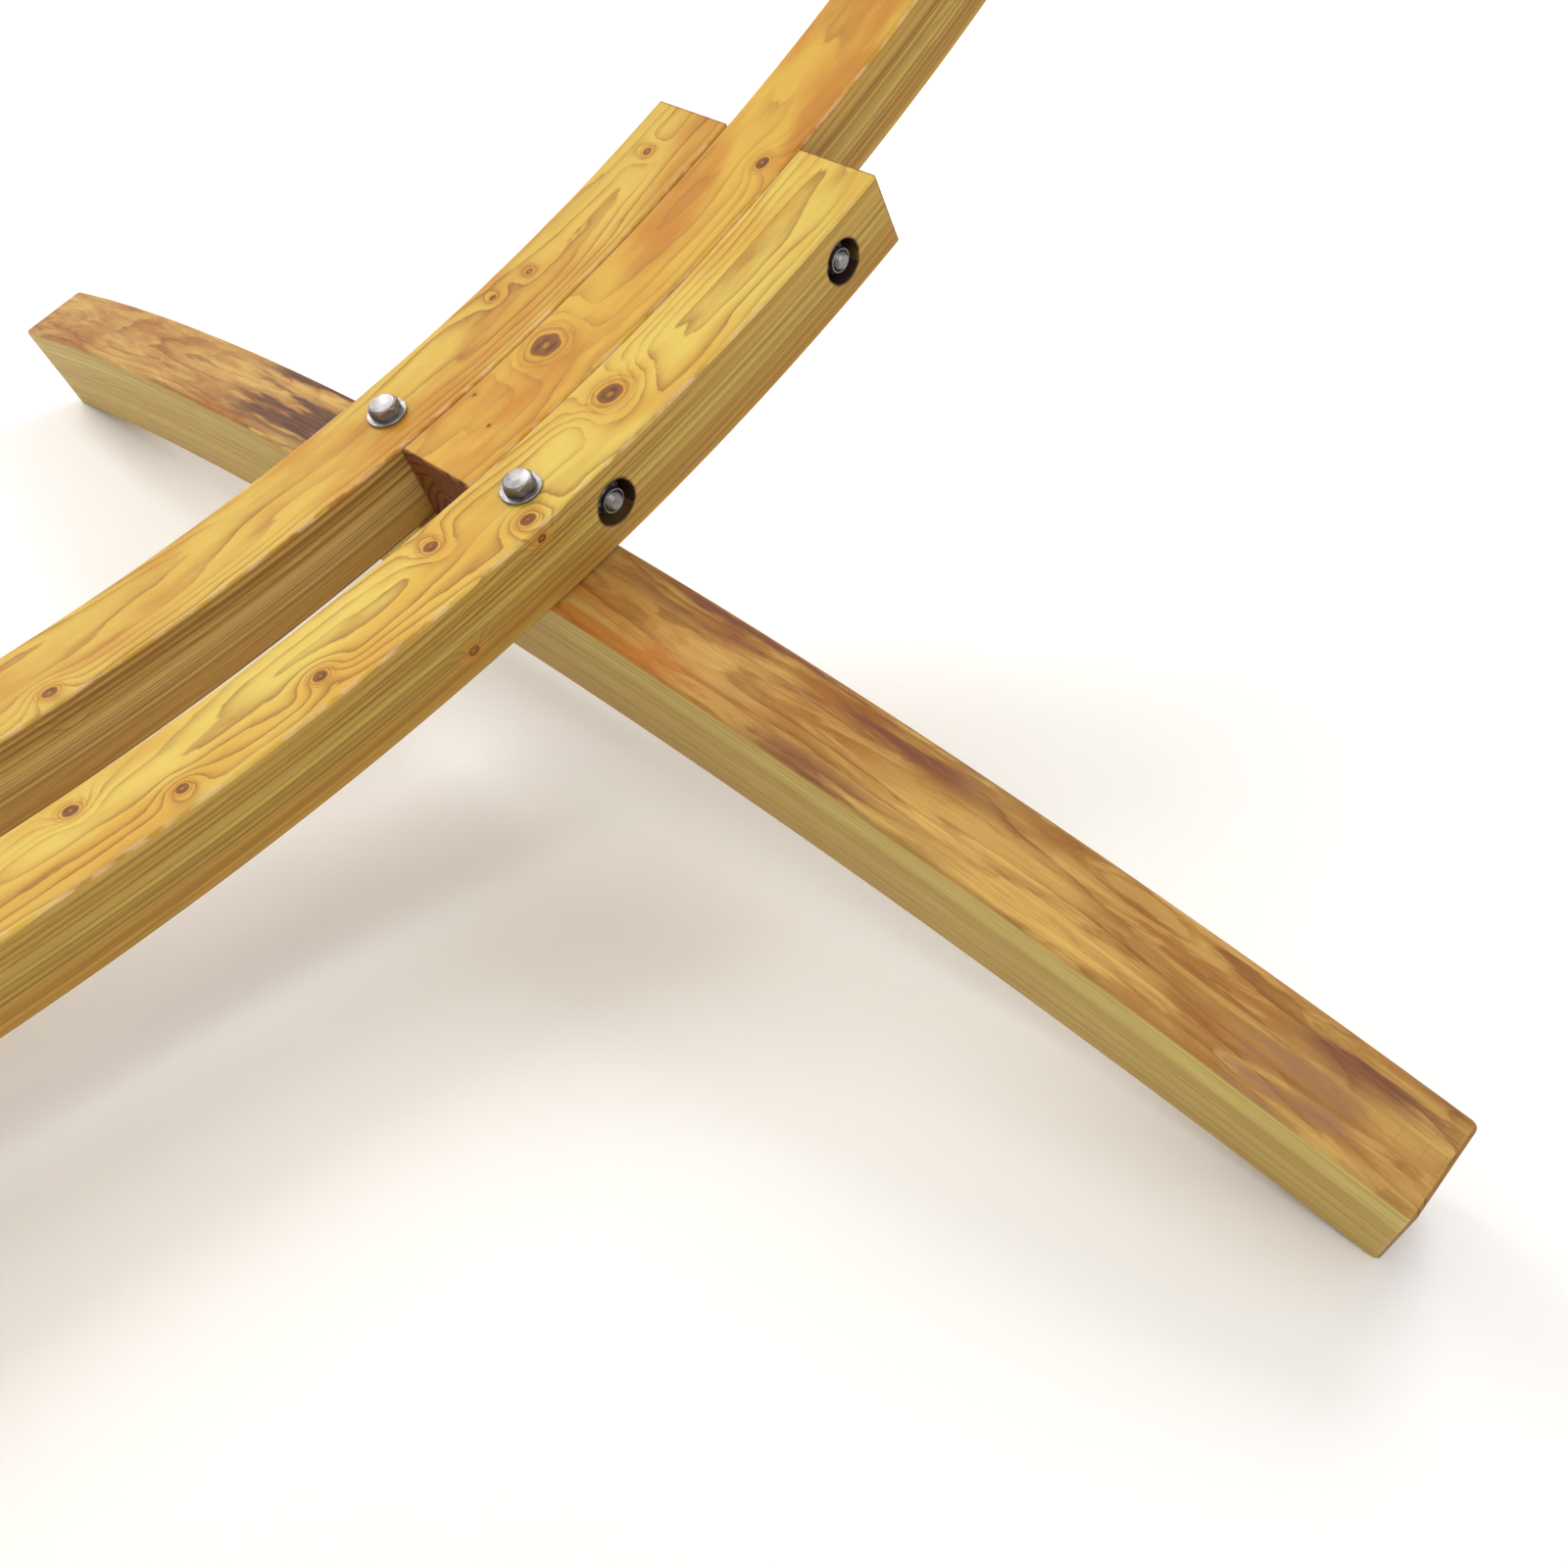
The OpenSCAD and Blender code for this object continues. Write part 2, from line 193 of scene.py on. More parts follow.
def on_foot(side):
    """place() for an arched cross foot, square to the rails. Along is across the stand."""
    def levels(along):
        top = math.sqrt(FOOT_TOP_R ** 2 - along ** 2) - FOOT_TOP_R
        return top, math.sqrt(FOOT_UNDER_R ** 2 - along ** 2) - FOOT_UNDER_R - FOOT_H

    def place(along, across, up):
        top, under = levels(along)
        near_end = max(0.0, 1 - (1 - abs(along) / (FOOT_LEN / 2)) / LEAN_SHARE)
        lean = (top - under) * (1 - up / FOOT_H) * math.tan(FOOT_END_LEAN) * near_end
        along -= math.copysign(lean, along)
        top, under = levels(along)
        height = under + (top - under) * up / FOOT_H
        x = FOOT_X + across * math.cos(FOOT_ANGLE) - height * math.sin(FOOT_ANGLE)
        z = FOOT_Z + across * math.sin(FOOT_ANGLE) + height * math.cos(FOOT_ANGLE)
        return (side * x, along, max(z, 0.0))
    return place


def lathe(profile, segments, limit=None):
    """(verts, faces) of a profile of (radius, height) turned about +Z. limit(angle) caps the radius."""
    verts = []
    for radius, height in profile:
        for i in range(segments):
            a = 2 * math.pi * i / segments
            r = min(radius, limit(a)) if limit else radius
            verts.append((r * math.cos(a), r * math.sin(a), height))
    faces = ring_faces(len(profile), segments)
    if profile[0][0] > 0 and profile[0] != profile[-1]:
        faces.append(tuple(range(segments - 1, -1, -1)))
        last = (len(profile) - 1) * segments
        faces.append(tuple(last + i for i in range(segments)))
    return verts, faces


def hexagon(angle):
    """Distance from the middle of a hexagonal head to its side, at an angle."""
    folded = (math.degrees(angle) + 30) % 60 - 30
    return HEX_AF / 2 / math.cos(math.radians(folded))


def arc_frame(angle, y=0.0, up=0.0):
    """Matrix of the arc's frame at an angle: +Z to its centre, +X along it, origin on the underside."""
    x_axis = Vector((math.cos(angle), 0, math.sin(angle)))
    z_axis = Vector((-math.sin(angle), 0, math.cos(angle)))
    radius = ARC_R - up
    origin = Vector((radius * math.sin(angle), y, ARC_Z - radius * math.cos(angle)))
    rotation = Matrix((x_axis, Vector((0, 1, 0)), z_axis)).transposed()
    return Matrix.Translation(origin) @ rotation.to_4x4()


def turn(degrees, axis):
    return Matrix.Rotation(math.radians(degrees), 4, axis)


def lift(z):
    return Matrix.Translation((0, 0, z))


def cut(obj, cutter):
    """Takes cutter out of obj for good."""
    modifier = obj.modifiers.new("cut", "BOOLEAN")
    modifier.operation = "DIFFERENCE"
    modifier.solver = "EXACT"
    modifier.object = cutter
    graph = bpy.context.evaluated_depsgraph_get()
    mesh = bpy.data.meshes.new_from_object(obj.evaluated_get(graph))
    obj.modifiers.clear()
    obj.data = mesh
    mesh.shade_smooth()
    mesh.set_sharp_from_angle(angle=math.radians(50))
    bpy.data.objects.remove(cutter)


# ---------------------------------------------------------------- material helpers
def srgb(r, g, b):
    """Linear colour of an 8-bit sRGB one."""
    values = [v / 255 for v in (r, g, b)]
    return tuple(v / 12.92 if v <= 0.04045 else ((v + 0.055) / 1.055) ** 2.4 for v in values) + (1.0,)


class Graph:
    """A material's node tree, with short calls for the nodes used here."""

    def __init__(self, name):
        self.material = bpy.data.materials.new(name)
        self.material.use_nodes = True
        self.tree = self.material.node_tree
        self.shader = self.tree.nodes["Principled BSDF"]

    def node(self, kind, values=(), **settings):
        node = self.tree.nodes.new(kind)
        for key, value in settings.items():
            setattr(node, key, value)
        for index, value in enumerate(values):
            self.set(node.inputs[index], value)
        return node

    def set(self, socket, value):
        """Links a socket to another one, or sets it to a number or colour."""
        if isinstance(value, bpy.types.NodeSocket):
            self.tree.links.new(value, socket)
        else:
            socket.default_value = value

    def math(self, operation, *values, clamp=False):
        return self.node("ShaderNodeMath", values, operation=operation, use_clamp=clamp).outputs[0]

    def plus(self, total, *others):
        for other in others:
            total = self.math("ADD", total, other)
        return total

    def minus(self, a, b):
        return self.math("SUBTRACT", a, b)

    def times(self, total, *others):
        for other in others:
            total = self.math("MULTIPLY", total, other)
        return total

    def length(self, a, b):
        return self.math("SQRT", self.plus(self.times(a, a), self.times(b, b)))

    def fraction(self, value):
        return self.math("FRACT", value)

    def combine(self, x, y, z):
        return self.node("ShaderNodeCombineXYZ", (x, y, z)).outputs[0]

    def noise(self, vector, scale=1.0, detail=2.0, rough=0.5, distortion=0.0):
        node = self.node("ShaderNodeTexNoise")
        self.set(node.inputs["Vector"], vector)
        node.inputs["Scale"].default_value = scale
        node.inputs["Detail"].default_value = detail
        node.inputs["Roughness"].default_value = rough
        node.inputs["Distortion"].default_value = distortion
        return node.outputs["Fac"]

    def stretched_noise(self, coords, scales, **settings):
        """Noise on three coordinates, each with its own scale."""
        return self.noise(self.combine(*[self.times(c, s) for c, s in zip(coords, scales)]), **settings)

    def step(self, value, low, high):
        """0 below low, 1 above high and smooth between. With low above high it falls from 1 to 0 instead."""
        node = self.node("ShaderNodeMapRange", interpolation_type="SMOOTHSTEP")
        falls = low > high
        self.set(node.inputs["Value"], value)
        node.inputs["From Min"].default_value = min(low, high)
        node.inputs["From Max"].default_value = max(low, high)
        node.inputs["To Min"].default_value = 1.0 if falls else 0.0
        node.inputs["To Max"].default_value = 0.0 if falls else 1.0
        return node.outputs["Result"]

    def mix(self, factor, a, b):
        node = self.node("ShaderNodeMix", data_type="RGBA", blend_type="MIX")
        self.set(node.inputs[0], factor)
        self.set(node.inputs[6], a)
        self.set(node.inputs[7], b)
        return node.outputs[2]

    def object_xyz(self):
        coords = self.node("ShaderNodeTexCoord").outputs["Object"]
        return self.node("ShaderNodeSeparateXYZ", (coords,)).outputs

    def bump(self, height, distance):
        node = self.node("ShaderNodeBump")
        node.inputs["Strength"].default_value = 1.0
        node.inputs["Distance"].default_value = distance
        self.set(node.inputs["Height"], height)
        self.set(self.shader.inputs["Normal"], node.outputs[0])

    def finish(self, color, roughness, **constants):
        self.set(self.shader.inputs["Base Color"], color)
        self.set(self.shader.inputs["Roughness"], roughness)
        for name, value in constants.items():
            self.shader.inputs[name.replace("_", " ")].default_value = value
        return self.material


def arc_coords(centre_y):
    """Wood coordinates on a bent bar: along the arc, across, and up from the underside."""
    def coords(g):
        x, y, z = g.object_xyz()
        drop = g.minus(ARC_Z, z)
        along = g.times(g.math("ARCTAN2", x, drop), ARC_MID)
        return along, g.minus(y, centre_y), g.minus(ARC_R, g.length(x, drop))
    return coords


def foot_coords(side):
    """Wood coordinates on a cross foot: across the stand, along the rails, and up from the underside."""
    def coords(g):
        x, y, z = g.object_xyz()
        dx = g.minus(g.times(x, side), FOOT_X)
        dz = g.minus(z, FOOT_Z)
        cos, sin = math.cos(FOOT_ANGLE), math.sin(FOOT_ANGLE)
        across = g.plus(g.times(dx, cos), g.times(dz, sin))
        height = g.minus(g.times(dz, cos), g.times(dx, sin))
        radius = g.length(y, g.plus(height, FOOT_TOP_R))
        return y, across, g.plus(g.minus(radius, FOOT_TOP_R), FOOT_H)
    return coords


# ---------------------------------------------------------------- wood
WOOD_TONES = {
    "top": srgb(216, 190, 92), "top_warm": srgb(206, 162, 62), "late": srgb(134, 78, 30),
    "fibre": srgb(196, 146, 60), "side": srgb(190, 160, 78), "side_dark": srgb(124, 90, 34),
    "side_warm": srgb(162, 114, 44), "side_late": srgb(122, 80, 28), "end": srgb(150, 96, 52),
    "end_late": srgb(92, 50, 26), "knot": srgb(138, 88, 40), "knot_dark": srgb(96, 54, 24),
    "knot_rim": srgb(112, 62, 22), "halo": srgb(204, 146, 50), "worn": srgb(222, 188, 148),
    "burnt": srgb(40, 20, 12), "honey": srgb(220, 186, 104), "quarter": srgb(206, 178, 112),
}


class Wood(Graph):
    """Laminated softwood in wood coordinates. Each layer is another board, with its own pith and colour."""

    def __init__(self, name, coords, depth, width, lamella, seed, tones):
        super().__init__(name)
        self.depth = depth
        self.width = width
        self.lamella = lamella
        self.seed = seed
        self.tones = tones
        self.along, self.across, self.up = coords(self)
        layer = self.math("FLOOR", self.math("DIVIDE", self.up, lamella))
        board = self.plus(layer, seed)
        random = self.node("ShaderNodeTexWhiteNoise", noise_dimensions="1D")
        self.set(random.inputs["W"], board)
        self.random = self.node("ShaderNodeSeparateColor", (random.outputs["Color"],)).outputs
        self.in_layer = self.minus(self.up, self.times(layer, lamella))
        self.shift = self.times(board, 3.7)
        self.top_face = self.step(self.up, depth - 0.0030, depth - 0.0008)
        self.slow = self.grain((4.0, 20.0, 20.0), shifted=True, detail=2.5)
        self.fine = self.grain((60.0, 300.0, 300.0))
        self.fibre = self.grain((25.0, 900.0, 900.0))

    def grain(self, scales, shifted=False, **settings):
        """Noise with a scale along, across and up, moved along by the board's own shift if wanted."""
        along = self.times(self.along, scales[0])
        if shifted:
            along = self.plus(along, self.shift)
        across, up = self.times(self.across, scales[1]), self.times(self.up, scales[2])
        return self.noise(self.combine(along, across, up), **settings)

    def flat_grain(self, scale_along, scale_across, third, **settings):
        """Noise with a scale along and across, the same at every height unless third changes with it."""
        along, across = self.times(self.along, scale_along), self.times(self.across, scale_across)
        return self.noise(self.combine(along, across, third), **settings)

    def paint(self, color, tone, *shares):
        """Color with a tone over it, as strong as the product of the shares."""
        return self.mix(self.times(*shares), color, self.tones[tone] if isinstance(tone, str) else tone)

    def knot_field(self, sideways, knot, shown):
        """(distance in core radii, halo) of a knot (along, across, core radius), where shown is 1."""
        at_along, at_across, radius = knot
        da = self.math("DIVIDE", self.minus(self.along, at_along), radius * 1.25)
        dc = self.math("DIVIDE", self.minus(sideways, at_across), radius)
        squared = self.plus(self.times(da, da), self.times(dc, dc))
        hidden = self.times(self.minus(1.0, shown), 9.0)
        distance = self.plus(self.math("SQRT", squared), self.ragged, hidden)
        halo = self.times(self.math("EXPONENT", self.times(squared, -0.09)), shown)
        return distance, halo

    def grow(self, knots, side_knots, pitch):
        """Sets ring (0 to 1 over a year), late (the dark wood) and the knots' fields."""
        lumpy = self.grain((90.0, 110.0, 110.0), detail=1.0)
        self.ragged = self.plus(self.times(self.minus(self.fine, 0.5), 0.16),
                                self.times(self.minus(lumpy, 0.5), 0.7))
        off_across = self.minus(self.across, self.times(self.minus(self.random[0], 0.5), 0.03))
        off_up = self.plus(self.in_layer, self.plus(0.012, self.times(self.random[1], 0.02)))
        taper = self.grain((1.7, 0.0, 0.0), shifted=True, detail=1.0)
        rho = self.length(off_across, off_up)
        rho = self.plus(rho, self.times(self.slow, 0.030), self.times(taper, 0.050))
        top_board = self.step(self.up, self.depth - self.lamella * 1.05, self.depth - self.lamella * 0.95)
        near_side = self.step(self.across, -self.width / 2 + 0.02, -self.width / 2 + 0.004)
        self.knots = [self.knot_field(self.across, knot, top_board) for knot in knots]
        self.knots += [self.knot_field(self.up, knot, near_side) for knot in side_knots]
        for (_, halo), knot in zip(self.knots, list(knots) + list(side_knots)):
            rho = self.plus(rho, self.times(halo, knot[2] * 3.0))
        rho = self.plus(rho, self.times(self.fine, 0.0012))
        self.ring = self.fraction(self.math("DIVIDE", rho, pitch))
        late = self.times(self.math("POWER", self.ring, 3.0), self.step(self.ring, 1.0, 0.92))
        strength = self.flat_grain(6.0, 45.0, self.shift)
        self.late = self.math("MULTIPLY", late, self.step(strength, 0.25, 0.65), clamp=True)

    def faces(self, late_top, bottom):
        """Colour of the top face and of the sides, from the same rings."""
        blotch = self.grain((9.0, 30.0, 0.0), shifted=True, detail=3.0)
        top = self.mix(self.step(blotch, 0.38, 0.68), self.tones["top"], self.tones["top_warm"])
        top = self.paint(top, "late", self.late, late_top)
        bands = self.grain((1.2, 60.0, 330.0), shifted=True, detail=4.0, rough=0.65)
        side = self.mix(self.step(bands, 0.34, 0.62), self.tones["side_dark"], self.tones["side"])
        side = self.paint(side, "side_warm", self.step(self.random[2], 0.2, 0.9), 0.35)
        side = self.paint(side, "side_late", self.late, 0.55)
        bottom_layer = self.step(self.up, self.lamella * 1.02, self.lamella * 0.98)
        side = self.paint(side, "side_warm", bottom_layer, bottom)
        return self.mix(self.top_face, side, top)

    def figured(self, color, strength):
        """Pale and dark swirls on the top face."""
        swirl = self.flat_grain(13.0, 95.0, self.seed, detail=5.0, rough=0.62, distortion=1.2)
        color = self.paint(color, "honey", self.step(swirl, 0.50, 0.62), self.top_face, strength)
        return self.paint(color, "late", self.step(swirl, 0.46, 0.34), self.top_face, strength)

    def quarter_sawn(self, color, low, high):
        """Fine straight lines on the sides between two heights."""
        lines = self.grain((0.8, 0.0, 1100.0), detail=1.0)
        band = self.times(self.step(self.up, low, low + 0.004), self.step(self.up, high, high - 0.004))
        return self.paint(color, "quarter", band, self.step(lines, 0.42, 0.6), 0.8)

    def stained(self, color, stains):
        """Stains (along, reach, none from across, full from across, tone, strength) on the top face."""
        cloud = self.step(self.flat_grain(7.0, 70.0, self.seed, detail=4.0, rough=0.65), 0.42, 0.54)
        for at, reach, none_from, full_from, tone, strength in stains:
            away = self.math("ABSOLUTE", self.minus(self.along, at))
            near = self.step(away, reach, reach * 0.4)
            band = self.step(self.across, none_from, full_from)
            color = self.paint(color, tone, near, band, self.top_face, cloud, strength)
        return color

    def knotted(self, color):
        """Each knot: pale halo, growth rings that fade outwards, dark rim and reddish core."""
        speckle = self.step(self.fine, 0.35, 0.7)
        for distance, halo in self.knots:
            color = self.paint(color, "halo", self.step(halo, 0.35, 0.9), 0.45)
            rings = self.math("POWER", self.fraction(self.times(distance, 1.7)), 2.0)
            color = self.paint(color, "late", rings, self.step(distance, 3.1, 1.2), 0.8)
            core = self.mix(speckle, self.tones["knot"], self.tones["knot_dark"])
            core = self.paint(core, "halo", self.step(distance, 0.45, 0.15), 0.45)
            color = self.paint(color, "knot_rim", self.step(distance, 1.35, 0.95), 0.85)
            color = self.mix(self.step(distance, 1.0, 0.7), color, core)
        return color

    def glued(self, color):
        """Dark glue lines between the layers."""
        edge = self.math("MINIMUM", self.in_layer, self.minus(self.lamella, self.in_layer))
        inside = self.times(self.step(self.up, 0.004, 0.006),
                            self.step(self.up, self.depth - 0.004, self.depth - 0.006))
        return self.paint(color, "side_dark", self.step(edge, 0.0006, 0.0001), inside, 0.35)

    def cut_ends(self, color, ends, end_lean):
        """End grain beyond either end. end_lean is how far an end leans in for each metre down."""
        lean = self.times(self.minus(self.depth, self.up), end_lean)
        past_low = self.step(self.minus(self.along, lean), ends[0] + 0.0022, ends[0] + 0.0012)
        past_high = self.step(self.plus(self.along, lean), ends[1] - 0.0022, ends[1] - 0.0012)
        grain = self.paint(self.tones["end"], "end_late", self.step(self.ring, 0.45, 0.95), 0.8)
        return self.mix(self.math("MAXIMUM", past_low, past_high), color, grain)

    def rubbed(self, color):
        """Pale wear along the arrises."""
        below_top = self.minus(self.depth, self.up)
        from_side = self.minus(self.width / 2, self.math("ABSOLUTE", self.across))
        corner = self.math("MAXIMUM", below_top, from_side)
        wear = self.grain((70.0, 200.0, 1.0), detail=4.0)
        arris = self.step(corner, 0.0024, 0.0010)
        return self.paint(color, "worn", arris, self.step(wear, 0.42, 0.62), 0.6)

    def scorched(self, color):
        """Burnt rims round the arm bolts' counterbores, in the rail's outer sides."""
        reach = self.math("ABSOLUTE", self.along)
        rough = self.times(self.minus(self.slow, 0.5), 0.004)
        burn = 0.0
        for angle in ARM_BOLTS:
            radius = self.length(self.minus(reach, angle * ARC_MID), self.minus(self.up, RAIL_H / 2))
            rim = self.step(self.plus(radius, rough), COUNTERBORE_R + 0.0022, COUNTERBORE_R - 0.0002)
            burn = self.math("MAXIMUM", burn, rim)
        outside = self.step(self.math("ABSOLUTE", self.across), 0.006, 0.012)
        return self.paint(color, "burnt", burn, outside)


def glulam(name, coords, depth, width, ends, tones, seed, knots=(), side_knots=(), pitch=0.0036,
           lamella=0.0174, late_top=0.95, bottom=0.3, streak=0.5, worn=True, bores=False, stains=(),
           figure=0.0, quarter=None, end_lean=0.0):
    """Material of a laminated bar. tones are what differs from WOOD_TONES, pitch is the width of a year."""
    wood = Wood(name, coords, depth, width, lamella, seed, WOOD_TONES | tones)
    wood.grow(knots, side_knots, pitch)
    color = wood.faces(late_top, bottom)
    if figure:
        color = wood.figured(color, figure)
    if quarter:
        color = wood.quarter_sawn(color, *quarter)
    color = wood.stained(color, stains)
    color = wood.paint(color, "fibre", wood.step(wood.fibre, 0.35, 0.75), streak * 0.35)
    color = wood.knotted(color)
    color = wood.glued(color)
    color = wood.cut_ends(color, ends, end_lean)
    if worn:
        color = wood.rubbed(color)
    if bores:
        color = wood.scorched(color)
    pores = wood.grain((30.0, 120.0, 120.0), detail=3.0)
    height = wood.plus(wood.times(wood.late, 0.6), wood.times(wood.fibre, 0.7), wood.times(pores, 0.8))
    wood.bump(height, 0.00035)
    roughness = wood.plus(0.46, wood.times(wood.fine, 0.22))
    return wood.finish(color, roughness, Specular_IOR_Level=0.22)


def turned_wood(name):
    """Oiled hardwood of the spreader bars, grain along Y."""
    g = Graph(name)
    x, y, z = g.object_xyz()
    drift = g.stretched_noise((x, y, z), (20.0, 3.0, 20.0))
    ring = g.fraction(g.plus(g.times(z, 260.0), g.times(drift, 5.0)))
    fleck = g.stretched_noise((x, y, z), (700.0, 40.0, 700.0))
    color = g.mix(g.math("POWER", ring, 3.0), srgb(212, 168, 112), srgb(168, 116, 66))
    color = g.mix(g.times(g.step(fleck, 0.5, 0.75), 0.4), color, srgb(140, 92, 50))
    g.bump(fleck, 0.0002)
    return g.finish(color, g.plus(0.38, g.times(fleck, 0.2)))


# ---------------------------------------------------------------- metal, plastic and cloth
def steel(name):
    """Plain stainless hardware: fine turning marks, small dull patches and a little wear."""
    g = Graph(name)
    x, y, z = g.object_xyz()
    bright = (0.30, 0.287, 0.287, 1.0)
    worn = (bright[0] * 0.62, bright[1] * 0.60, bright[2] * 0.60, 1.0)
    turned = g.stretched_noise((x, y, z), (900.0, 900.0, 4000.0))
    dull = g.noise(g.combine(x, y, z), scale=160.0, detail=4.0, rough=0.6)
    color = g.mix(g.step(dull, 0.35, 0.72), bright, worn)
    g.bump(g.plus(g.times(turned, 0.5), dull), 0.00012)
    return g.finish(color, g.plus(0.30, g.times(g.plus(turned, dull), 0.14)), Metallic=1.0)


def nylon(name):
    """The dark insert of a locknut."""
    g = Graph(name)
    x, y, z = g.object_xyz()
    grain = g.noise(g.combine(x, y, z), scale=900.0)
    g.bump(grain, 0.0001)
    return g.finish(g.mix(grain, srgb(30, 28, 30), srgb(48, 46, 48)), 0.55)


def woven(name, base, shade, thread, tone_scale, seams=()):
    """Plain-weave cloth on UVs in metres, u along and v across it, with seams at distances from u = 0."""
    g = Graph(name)
    uv = g.node("ShaderNodeUVMap").outputs[0]
    u, v, _ = g.node("ShaderNodeSeparateXYZ", (uv,)).outputs
    warp = g.math("SINE", g.times(u, 2 * math.pi / thread))
    weft = g.math("SINE", g.times(v, 2 * math.pi / thread))
    weave = g.plus(g.times(warp, weft, 0.5), 0.5)
    slub = g.noise(g.combine(g.times(u, 40.0), g.times(v, 900.0), 0.0), detail=3.0)
    slub_across = g.noise(g.combine(g.times(u, 900.0), g.times(v, 40.0), 3.0), detail=3.0)
    tone = g.noise(g.combine(u, v, 0.0), scale=tone_scale, detail=4.0, rough=0.6)
    threads = g.plus(g.times(slub, 0.5), g.times(slub_across, 0.5))
    color = g.mix(g.times(g.step(tone, 0.3, 0.75), 0.4), base, shade)
    color = g.mix(g.times(weave, 0.22), color, srgb(150, 132, 100))
    color = g.mix(g.times(g.step(threads, 0.45, 0.7), 0.25), color, srgb(248, 242, 226))
    height = g.plus(weave, g.times(threads, 0.8))
    stitch_length = 0.004
    for at in seams:
        away = g.math("ABSOLUTE", g.minus(g.math("ABSOLUTE", u), at))
        dashes = g.math("SINE", g.times(v, 2 * math.pi / stitch_length))
        stitch = g.times(g.step(away, 0.0012, 0.0006), g.step(dashes, -0.4, 0.1))
        color = g.mix(g.times(stitch, 0.7), color, srgb(176, 152, 112))
        height = g.plus(height, g.times(stitch, 2.0))
    g.bump(height, 0.0003)
    return g.finish(color, 0.86, Sheen_Weight=0.25, Sheen_Roughness=0.5)


# ---------------------------------------------------------------- timber
# A knot is (along, across, core radius). On a side it has its height above the underside in place of across.
NEAR_KNOTS = [(0.579, 0.0072, 0.0054), (0.445, 0.0131, 0.0032), (0.351, -0.010, 0.0030),
              (0.263, -0.015, 0.0026), (0.220, 0.0167, 0.0030), (0.488, -0.0195, 0.0034),
              (-0.30, 0.008, 0.0036), (-0.62, -0.012, 0.0045)]
NEAR_SIDE_KNOTS = [(0.486, 0.0441, 0.0022), (0.423, 0.016, 0.0026), (-0.36, 0.03, 0.003)]
FAR_KNOTS = [(0.629, 0.0087, 0.0018), (0.602, 0.0143, 0.0018), (0.738, 0.0066, 0.0024),
             (0.256, -0.0182, 0.0030), (-0.41, 0.004, 0.004)]
RIGHT_ARM_KNOTS = [(0.589, 0.0121, 0.0068), (0.758, -0.0145, 0.0034), (0.526, -0.0045, 0.0010),
                   (0.539, 0.0224, 0.0010), (1.10, 0.01, 0.004), (1.42, -0.012, 0.0035)]
LEFT_ARM_KNOTS = [(-0.66, -0.008, 0.0045), (-0.95, 0.014, 0.003), (-1.30, -0.006, 0.004)]


def drill_counterbores(rail, side):
    """Takes the four counterbores, with a small chamfer, out of a rail's outer side."""
    chamfer, over = 0.0008, 0.01
    profile = [(0.0, -COUNTERBORE_T), (COUNTERBORE_R, -COUNTERBORE_T), (COUNTERBORE_R, -0.0006),
               (COUNTERBORE_R + chamfer, 0.0004), (COUNTERBORE_R + chamfer, over), (0.0, over)]
    outward = turn(-90 * side, "X")
    drills = [placed(lathe(profile, 64), arc_frame(end * angle, side * STAND_W / 2, RAIL_H / 2) @ outward)
              for end in (-1, 1) for angle in ARM_BOLTS]
    cut(rail, make_object("drill", *join_copies(drills), None))


def build_rails():
    reach = RAIL_END * ARC_MID
    far_tones = {"top": srgb(208, 176, 78), "top_warm": srgb(190, 136, 48), "late": srgb(138, 72, 20),
                 "side": srgb(200, 164, 90), "side_dark": srgb(140, 98, 46)}
    rails = [("near_rail", -1, {}, {"seed": 3.0, "knots": NEAR_KNOTS, "side_knots": NEAR_SIDE_KNOTS}),
             ("far_rail", 1, far_tones, {"seed": 11.0, "knots": FAR_KNOTS, "late_top": 1.0,
                                         "quarter": (0.014, 0.036)})]
    for node, side, tones, grain in rails:
        material = glulam(node + "_wood", arc_coords(side * RAIL_Y), RAIL_H, RAIL_W, (-reach, reach), tones,
                          bores=True, **grain)
        rail = bar(node + "_timber", (-reach, reach), RAIL_W, RAIL_H, on_arc(side * RAIL_Y), material,
                   arris=0.0016)
        drill_counterbores(rail, side)
        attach(rail, "stand")
        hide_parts(node)


def build_arms():
    # The arms' end grain is darker than the other timber's. This is painted shade: each arm's lower end sits
    # in the slot between the rails. The upper ends get the same darker tones.
    tones = {"top": srgb(208, 168, 66), "top_warm": srgb(188, 126, 42), "end": srgb(132, 78, 36),
             "end_late": srgb(72, 36, 18)}
    arms = [("right_arm", 1, 23.0, RIGHT_ARM_KNOTS), ("left_arm", -1, 37.0, LEFT_ARM_KNOTS)]
    for node, side, seed, knots in arms:
        span = sorted((side * ARM_START * ARC_MID, side * ARM_TIP * ARC_MID))
        material = glulam(node + "_wood", arc_coords(0.0), RAIL_H, ARM_W, span, tones, seed, knots,
                          pitch=0.0055, late_top=0.6)
        arm = bar(node + "_timber", span, ARM_W, RAIL_H, on_arc(0.0), material)
        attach(arm, "stand")
        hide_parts(node)


